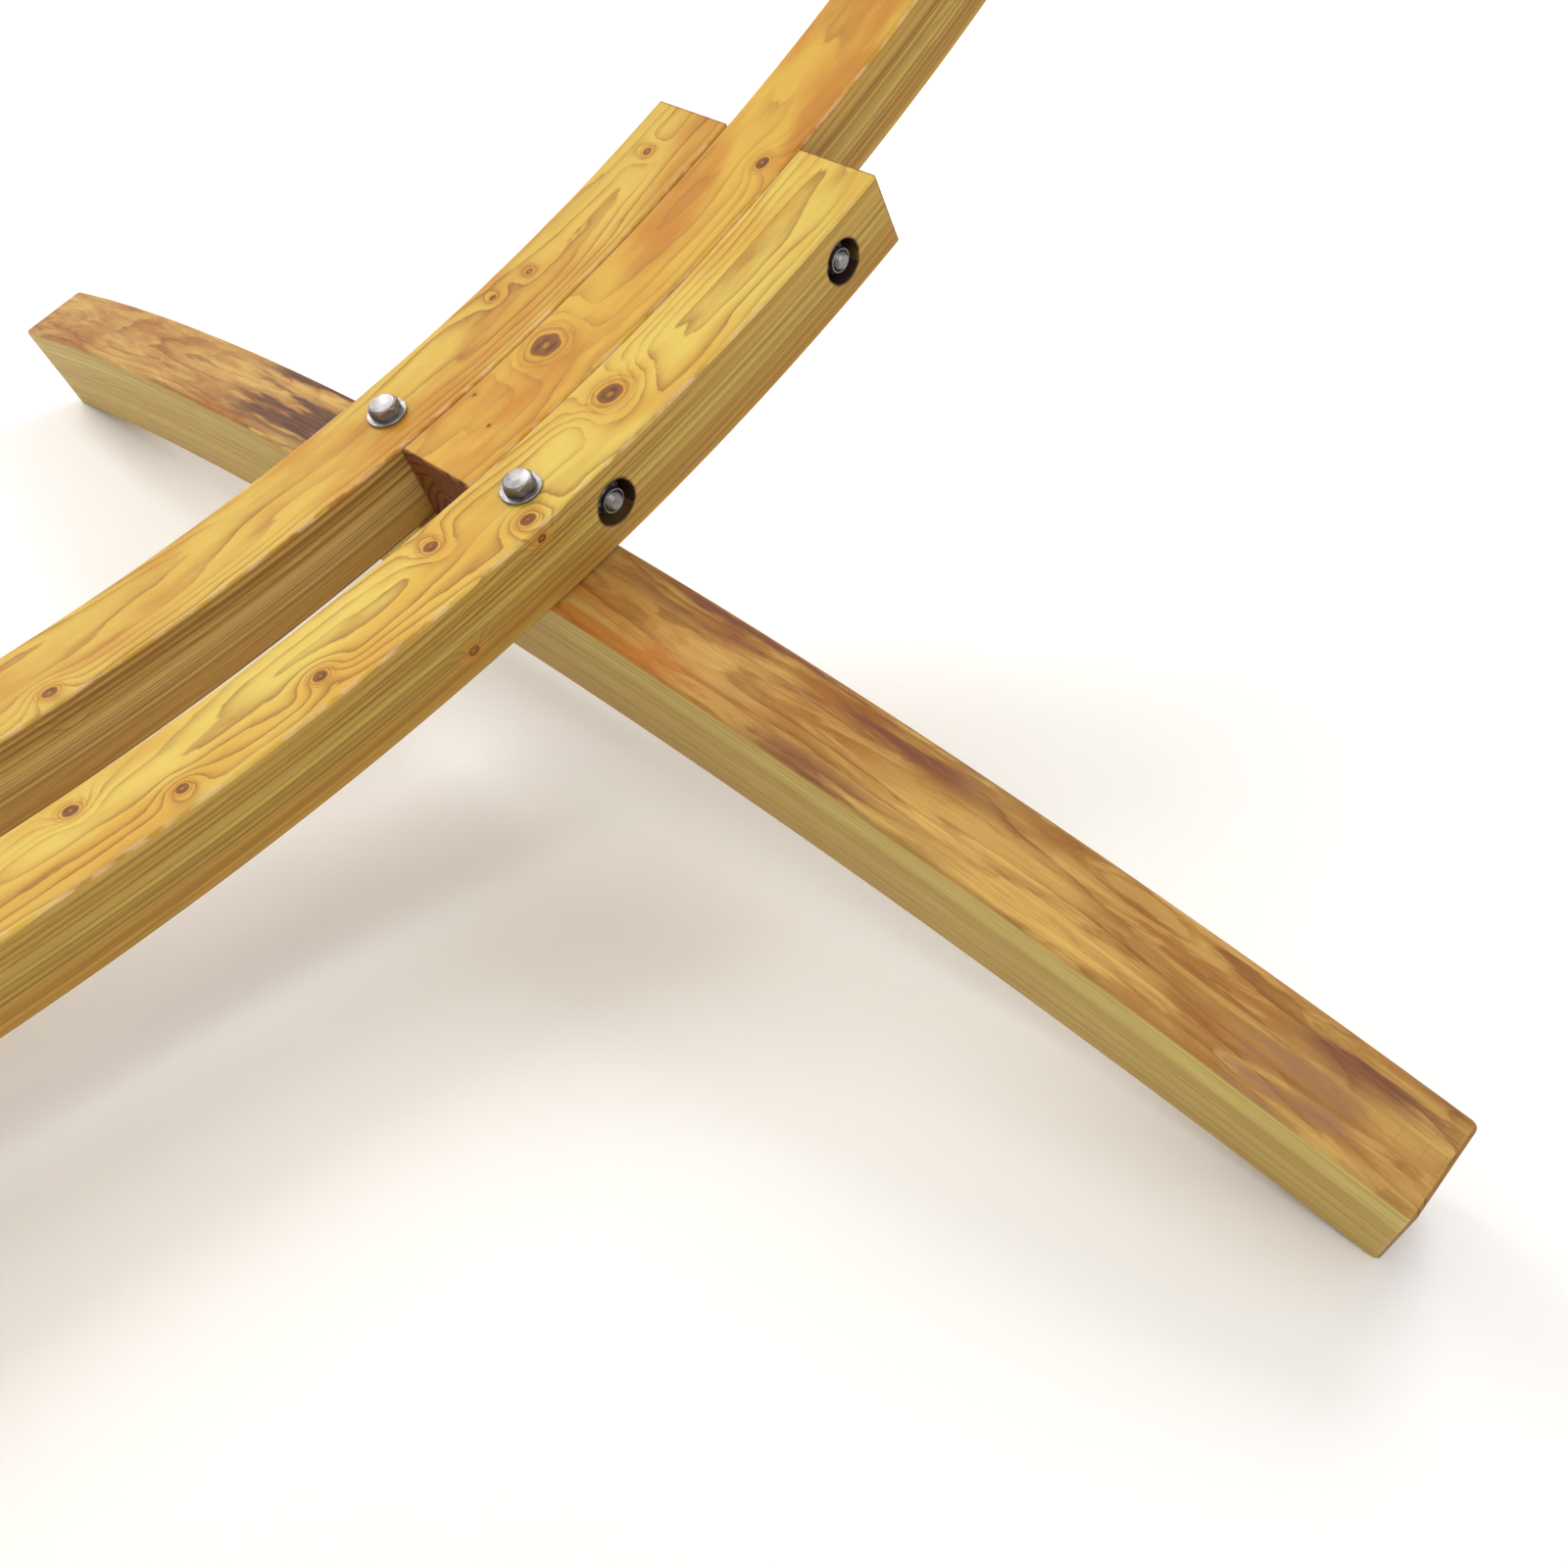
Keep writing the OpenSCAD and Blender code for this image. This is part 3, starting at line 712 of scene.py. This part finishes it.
def build_feet():
    tones = {"top": srgb(190, 150, 80), "top_warm": srgb(158, 104, 46), "late": srgb(118, 66, 28),
             "side": srgb(206, 188, 106), "side_dark": srgb(184, 158, 82), "side_warm": srgb(170, 130, 66),
             "side_late": srgb(176, 138, 72), "fibre": srgb(158, 104, 52), "end": srgb(150, 104, 52),
             "end_late": srgb(96, 58, 28)}
    umber, plum, flame = srgb(84, 50, 34), srgb(116, 72, 54), srgb(188, 112, 36)
    honey, dust = srgb(222, 184, 100), srgb(150, 112, 84)
    right_stains = [(0.19, 0.10, -0.027, -0.012, umber, 1.0), (-0.12, 0.08, 0.010, -0.020, flame, 0.7),
                    (-0.38, 0.12, 0.014, -0.010, honey, 0.6), (-0.23, 0.17, 0.004, 0.016, plum, 1.0),
                    (-0.29, 0.08, -0.010, -0.022, plum, 0.8), (-0.555, 0.05, 0.002, 0.016, plum, 1.0),
                    (-0.53, 0.04, 0.014, -0.008, dust, 0.8)]
    left_stains = [(0.30, 0.16, -0.01, 0.01, plum, 0.6), (-0.25, 0.14, 0.01, -0.01, flame, 0.5)]
    span = (-FOOT_LEN / 2, FOOT_LEN / 2)
    feet = [("right_foot", 1, 51.0, right_stains), ("left_foot", -1, 67.0, left_stains)]
    for node, side, seed, stains in feet:
        material = glulam(node + "_wood", foot_coords(side), FOOT_H, FOOT_W, span, tones, seed, pitch=0.0035,
                          lamella=0.0205, bottom=0.5, streak=0.9, worn=False, stains=stains, figure=0.4,
                          end_lean=math.tan(FOOT_END_LEAN))
        foot = bar(node + "_timber", span, FOOT_W, FOOT_H, on_foot(side), material, arris=0.0035,
                   end_round=0.0035)
        if side < 0:
            foot.data.flip_normals()
        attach(foot, "stand")
        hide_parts(node)


# ---------------------------------------------------------------- fasteners
def hex_head():
    """Chamfered hexagon head from its seat at 0."""
    chamfer_t, chamfer_r, steps = 0.0014, HEX_AF * 0.46, 5
    profile = [(HEX_AF * 0.49, 0.0), (HEX_CORNER, 0.0005)]
    profile += [(HEX_CORNER - (HEX_CORNER - chamfer_r) * k / steps, HEAD_T - chamfer_t * (1 - k / steps))
                for k in range(steps + 1)]
    return lathe(profile + [(HEX_AF * 0.43, HEAD_T - 0.0001)], 96, hexagon)


def hex_nut():
    """Nut, chamfered on both faces, from 0 to its height."""
    chamfer, face_r = 0.0012, HEX_AF * 0.46
    profile = [(NUT_BORE, 0.0), (face_r, 0.0), (HEX_CORNER, chamfer), (HEX_CORNER, NUT_T - chamfer),
               (face_r, NUT_T), (BOLT_R + 0.0006, NUT_T), (NUT_BORE, NUT_T - 0.0006), (NUT_BORE, 0.0)]
    return lathe(profile, 96, hexagon)


def washer():
    inner, edge = BOLT_R + 0.0003, 0.0004
    profile = [(inner, edge), (inner + edge, 0.0), (WASHER_R - edge, 0.0), (WASHER_R, edge),
               (WASHER_R, WASHER_T - edge), (WASHER_R - edge, WASHER_T), (inner + edge, WASHER_T),
               (inner, WASHER_T - edge), (inner, edge)]
    return lathe(profile, 64)


def threaded_rod(low, high):
    """Rod about +Z from low to high, with thread ridges on its lowest 30 mm."""
    pitch, root, thread_top = 0.0015, BOLT_R - 0.0006, low + 0.03
    profile = [(BOLT_R - 0.0012, low), (BOLT_R - 0.0002, low + 0.001)]
    z = low + 0.0018
    while z < thread_top:
        profile += [(root, z), (BOLT_R, z + 0.0006), (BOLT_R, z + 0.0008)]
        z += pitch
    return lathe(profile + [(BOLT_R, z), (BOLT_R, high)], 40)


def locknut_shell():
    """Hexagon with a rolled collar round the insert, from its seat at 0 to 10.2 mm."""
    profile = [(NUT_BORE, 0.0), (HEX_AF * 0.46, 0.0), (HEX_CORNER, 0.001), (HEX_CORNER, 0.0062),
               (HEX_AF * 0.48, 0.007), (0.0075, 0.0072), (0.0075, 0.0094), (0.0072, 0.0100),
               (0.0068, 0.0102), (0.0064, 0.0100), (0.0062, 0.0094), (0.0062, 0.0080), (NUT_BORE, 0.0078),
               (NUT_BORE, 0.0)]
    return lathe(profile, 96, hexagon)


def insert_ring():
    """The plastic ring inside the locknut's collar."""
    bore, outer = BOLT_R + 0.0001, 0.0062
    profile = [(bore, 0.0078), (outer, 0.0078), (outer, 0.0088), (0.0058, 0.0092), (bore, 0.0090)]
    return lathe(profile + profile[:1], 48)


def fastener_piece(name, part, stations, material, node):
    """One piece with a copy of part at each station, in place of a CAD node if there is one."""
    copies = [placed(part, station) for station in stations]
    piece = make_object(name, *join_copies(copies), material, sharp=28)
    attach(piece, "stand")
    if node:
        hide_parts(node)


def build_foot_bolts(metal):
    """Bolts down through rail and foot, each with its hexagon turned its own way."""
    places = [(end * FOOT_ANGLE, y) for end in (-1, 1) for y in (-RAIL_Y, RAIL_Y)]
    stations = [arc_frame(*place) @ turn(degrees, "Z") for place, degrees in zip(places, (12, 40, 22, 8))]
    washer_z = RAIL_H + HEAD_GAP
    head_z = washer_z + WASHER_T
    nut_seat = -FOOT_H - FOOT_NUT_GAP - WASHER_T
    bolt_end = nut_seat - NUT_T - 0.004
    bolt = join_copies([placed(hex_head(), lift(head_z)), threaded_rod(bolt_end, head_z + 0.001)])
    fastener_piece("foot_bolt_set", bolt, stations, metal, "foot_bolts")
    head_washer, nut_washer = placed(washer(), lift(washer_z)), placed(washer(), lift(nut_seat))
    fastener_piece("foot_head_washer_set", head_washer, stations, metal, "foot_head_washers")
    fastener_piece("foot_nut_washer_set", nut_washer, stations, metal, "foot_nut_washers")
    fastener_piece("foot_nut_set", placed(hex_nut(), lift(nut_seat - NUT_T)), stations, metal, "foot_nuts")


def build_arm_bolts(metal):
    """Bolts along Y, with their heads in the far rail and their locknuts in the near rail."""
    stations = [arc_frame(end * angle, 0.0, RAIL_H / 2) @ turn(-90, "X")
                for end in (-1, 1) for angle in ARM_BOLTS]
    hexagon_turn = turn(17, "Z")
    seat = STAND_W / 2 - COUNTERBORE_T + WASHER_T
    bolt_end = -seat - 0.0124
    head = placed(hex_head(), lift(seat) @ hexagon_turn)
    bolt = join_copies([head, threaded_rod(bolt_end, seat + 0.001)])
    fastener_piece("arm_bolt_set", bolt, stations, metal, "arm_bolts")
    head_washer, nut_washer = placed(washer(), lift(seat - WASHER_T)), placed(washer(), lift(-seat))
    fastener_piece("arm_head_washer_set", head_washer, stations, metal, "arm_head_washers")
    fastener_piece("arm_nut_washer_set", nut_washer, stations, metal, "arm_nut_washers")
    outward = lift(-seat) @ turn(180, "X") @ hexagon_turn
    fastener_piece("arm_locknut_set", placed(locknut_shell(), outward), stations, metal, "arm_locknuts")
    insert = placed(insert_ring(), outward)
    fastener_piece("locknut_inserts", insert, stations, nylon("insert_nylon"), None)


# ---------------------------------------------------------------- hammock
def bar_place():
    """(x, z, radius) of the right-hand spreader bar. The left-hand one mirrors it."""
    low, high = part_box("right_spreader_bar")
    return (low[0] + high[0]) / 2, (low[2] + high[2]) / 2, (high[2] - low[2]) / 2


def polar(radius, degrees):
    a = math.radians(degrees)
    return Vector((math.cos(a), math.sin(a))) * radius


def strip(name, path, row, material, thickness):
    """(object, length) of a cloth strip along a path of (x, z) points, with UVs in metres.

    row(index, x, z) gives the points across the strip at a point of the path.
    """
    lengths = [0.0]
    for here, following in zip(path, path[1:]):
        lengths.append(lengths[-1] + math.dist(here, following))
    rows = [row(i, x, z) for i, (x, z) in enumerate(path)]
    count = len(rows[0])
    verts = [point for points in rows for point in points]
    obj = make_object(name, verts, ring_faces(len(path), count, closed=False), material, sharp=80)
    layer = obj.data.uv_layers.new(name="UVMap")
    for loop in obj.data.loops:
        i, j = divmod(loop.vertex_index, count)
        layer.data[loop.index].uv = (lengths[i], rows[i][j][1])
    solid = obj.modifiers.new("thickness", "SOLIDIFY")
    solid.thickness = thickness
    solid.offset = 0.0
    return obj, lengths[-1]


def build_bed(canvas):
    """Bed that hangs in an arc between the bars, with a sleeve sewn round each."""
    bar_x, bar_z, _ = bar_place()
    slope = math.radians(16)
    radius = bar_x / math.sin(slope)
    centre_z = bar_z + radius * math.cos(slope)
    sleeve_r = 0.0190
    half_width = 0.368
    waist = 0.022
    overlap = 0.045
    layer_gap = 0.0012
    run_steps = 120
    rows_across = 60

    def sheet_point(angle, raised):
        return ((radius - raised) * math.sin(angle), centre_z - (radius - raised) * math.cos(angle))

    def sleeve(side):
        """Hem under the bed, then the turn round the bar, open where the two layers leave it."""
        steps, opening = 22, 0.55
        points = []
        for k in range(5):
            angle = slope - (sleeve_r + overlap * (1 - k / 4)) / radius
            points.append(sheet_point(side * angle, -layer_gap))
        for k in range(steps + 1):
            a = slope + (math.pi - opening) * (2 * k / steps - 1)
            points.append((side * (bar_x + sleeve_r * math.cos(a)), bar_z + sleeve_r * math.sin(a)))
        return points

    def row(_, x, z):
        """Sagging in the middle, drawn in at the waist and gathered into folds towards the bars."""
        t = min(1.0, abs(x) / bar_x)
        middle = 1.0 - t * t
        width = half_width - waist * middle
        gather = max(0.0, (t - 0.45) / 0.55) ** 2 * (1 - max(0.0, t - 0.9) * 9) if t < 0.985 else 0.0
        points = []
        for k in range(rows_across + 1):
            v = -1 + 2 * k / rows_across
            folds = 0.0030 * math.sin(v * 21 + 1.3) + 0.0020 * math.sin(v * 37 + 4 * x)
            sag = 0.020 * middle * (1 - v * v) + gather * folds
            ripple = 0.0018 * math.sin(9 * x + 3 * v) * math.sin(5 * v + 2 * x) * middle
            points.append((x, v * width, z - sag + ripple))
        return points

    run = [sheet_point(slope * (1 - 2 * k / run_steps) * 0.985, layer_gap) for k in range(2, run_steps - 1)]
    path = sleeve(1) + run + sleeve(-1)[::-1]
    bed, length = strip("bed_canvas", path, row, canvas, 0.0016)
    for item in bed.data.uv_layers["UVMap"].data:
        item.uv[0] -= length / 2
    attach(bed, "hammock")
    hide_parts("hammock_bed")


def build_straps(material):
    """Four webbing straps, each a loop from its bar to its ring and back under itself."""
    bar_x, bar_z, bar_r = bar_place()
    slope = math.radians(22)
    length = 0.330
    half = 0.0195
    middle_bar, middle_ring = 0.398, 0.024
    thickness = 0.0018
    cloth_gap = 0.0014
    big, small = bar_r + cloth_gap, 0.004 + cloth_gap

    # The loop, with the bar's middle at 0 and the ring's at length: hem, bar, top run, ring and fold.
    ring_at = Vector((length, 0.0))
    tilt = math.asin((big - small) / length)
    fall = 0.05 * math.tan(tilt)
    top_bar = Vector((math.sin(tilt), math.cos(tilt))) * big
    top_ring = ring_at + Vector((math.sin(tilt), math.cos(tilt))) * small
    loop = [Vector((0.05, big - fall - thickness * 1.3)), Vector((0.024, 0.006))]
    loop += [polar(big, degrees) for degrees in range(-50, -145, -12)]
    loop += [polar(big, 215 - 125 * k / 18) for k in range(19)]
    loop += [top_bar.lerp(top_ring, k / 12) for k in range(13)]
    loop += [ring_at + polar(small, degrees) for degrees in range(75, -215, -20)]
    loop += [ring_at + Vector((-0.012, 0.0010))]
    loop += [ring_at + Vector((-0.05, small + fall - thickness * 1.2 - 0.0002))]

    shares = [min(max(p.x / length, 0.0), 1.0) for p in loop]
    offsets = [Matrix.Rotation(slope, 2) @ p for p in loop]
    for side, label in ((1, "right"), (-1, "left")):
        path = [(side * (bar_x + offset.x), bar_z + offset.y) for offset in offsets]
        for across, where in ((-1, "near"), (1, "far")):
            def row(i, x, z):
                centre = across * (middle_bar + (middle_ring - middle_bar) * shares[i])
                return [(x, centre + v * half, z) for v in (-1, -0.5, 0, 0.5, 1)]

            strap, total = strip(f"{label}_{where}_strap", path, row, material, thickness)
            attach(strap, "hammock")
            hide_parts(label + "_straps")


def build_bars(material):
    """Turned spreader bars with rounded ends."""
    soft, end_steps, length_steps = 0.004, 5, 30
    for label in ("left", "right"):
        node = label + "_spreader_bar"
        low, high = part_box(node)
        radius, half = (high[2] - low[2]) / 2, (high[1] - low[1]) / 2
        turns = [math.pi / 2 * k / end_steps for k in range(end_steps + 1)]
        profile = [(radius * 0.5, -half)]
        profile += [(radius - soft + soft * math.sin(a), -half + soft - soft * math.cos(a)) for a in turns]
        profile += [(radius, -half + 2 * half * k / length_steps) for k in range(1, length_steps)]
        profile += [(radius - soft + soft * math.cos(a), half - soft + soft * math.sin(a)) for a in turns]
        profile += [(radius * 0.5, half)]
        centre = Matrix.Translation(((low[0] + high[0]) / 2, 0, (low[2] + high[2]) / 2))
        turned = placed(lathe(profile, 64), centre @ turn(90, "X"))
        piece = make_object(node + "_turned", *turned, material, sharp=40)
        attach(piece, "hammock")
        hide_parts(node)


def build_hammock(metal):
    build_bars(turned_wood("spreader_wood"))
    build_bed(woven("bed_cloth", srgb(232, 222, 198), srgb(214, 200, 170), 0.0016, 6.0, seams=(0.93,)))
    build_straps(woven("strap_webbing", srgb(206, 188, 150), srgb(184, 162, 122), 0.0022, 25.0))
    for node in ("eye_bolts", "eye_washers", "eye_nuts", "left_carabiner", "right_carabiner", "left_gate",
                 "right_gate", "left_gate_pin", "right_gate_pin", "left_ring", "right_ring"):
        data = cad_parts[node].data
        data.materials.clear()
        data.materials.append(metal)


# ---------------------------------------------------------------- studio
def build_floor():
    g = Graph("studio_floor")
    x, y, z = g.object_xyz()
    cloud = g.noise(g.combine(x, y, z), scale=1.5)
    color = g.mix(cloud, (0.90, 0.90, 0.90, 1.0), (0.93, 0.93, 0.93, 1.0))
    half, below = 14.0, 0.0005
    corners = [(-half, -half, 0), (half, -half, 0), (half, half, 0), (-half, half, 0)]
    floor = make_object("floor", corners, [(0, 1, 2, 3)], g.finish(color, 0.9))
    floor.location.z = -below


def build_world():
    """White surroundings that get a little brighter with height."""
    world = bpy.data.worlds.new("studio")
    bpy.context.scene.world = world
    world.use_nodes = True
    tree = world.node_tree
    background = tree.nodes["Background"]
    coords = tree.nodes.new("ShaderNodeTexCoord")
    split = tree.nodes.new("ShaderNodeSeparateXYZ")
    ramp = tree.nodes.new("ShaderNodeMapRange")
    tree.links.new(coords.outputs["Generated"], split.inputs[0])
    tree.links.new(split.outputs["Z"], ramp.inputs["Value"])
    ramp.inputs["From Min"].default_value = 0.0
    ramp.inputs["From Max"].default_value = 0.9
    ramp.inputs["To Min"].default_value = 0.6
    ramp.inputs["To Max"].default_value = 0.75
    background.inputs["Color"].default_value = (1.0, 1.0, 1.0, 1.0)
    tree.links.new(ramp.outputs["Result"], background.inputs["Strength"])


def area_light(name, location, target, size, energy):
    light = bpy.data.lights.new(name, "AREA")
    light.energy = energy
    light.size = size
    obj = bpy.data.objects.new(name, light)
    bpy.context.scene.collection.objects.link(obj)
    obj.location = location
    obj.rotation_mode = "QUATERNION"
    obj.rotation_quaternion = (Vector(target) - Vector(location)).to_track_quat("-Z", "Y")


def build_studio():
    build_floor()
    build_world()
    # The bed hangs over the joint, so the light comes in under it from three sides.
    area_light("key", (0.0, 4.0, 4.0), (0.5, 0.0, 0.1), 2.2, 150)
    area_light("end", (4.4, 0.6, 3.6), (0.5, 0.0, 0.1), 2.2, 88)
    area_light("fill", (-1.0, -3.8, 3.2), (0.4, 0.0, 0.2), 2.6, 72)
    bpy.context.scene.view_settings.view_transform = "Standard"
    bpy.context.scene.view_settings.look = "None"


def build_camera():
    """Camera as solved from the edges in the photo."""
    data = bpy.data.cameras.new("camera")
    camera = bpy.data.objects.new("camera", data)
    bpy.context.scene.collection.objects.link(camera)
    data.sensor_width = 36.0
    data.lens = 36.84
    data.clip_start = 0.02
    azimuth, elevation, roll = math.radians(47.12), math.radians(-41.41), math.radians(0.53)
    camera.location = (0.0365, -0.6669, 0.6488)
    aim = Vector((math.sin(azimuth) * math.cos(elevation), math.cos(azimuth) * math.cos(elevation),
                  math.sin(elevation)))
    camera.rotation_mode = "QUATERNION"
    camera.rotation_quaternion = aim.to_track_quat("-Z", "Y") @ Matrix.Rotation(roll, 4, "Z").to_quaternion()
    bpy.context.scene.camera = camera


METAL = steel("stainless_steel")
build_rails()
build_arms()
build_feet()
build_foot_bolts(METAL)
build_arm_bolts(METAL)
build_hammock(METAL)
build_studio()
build_camera()
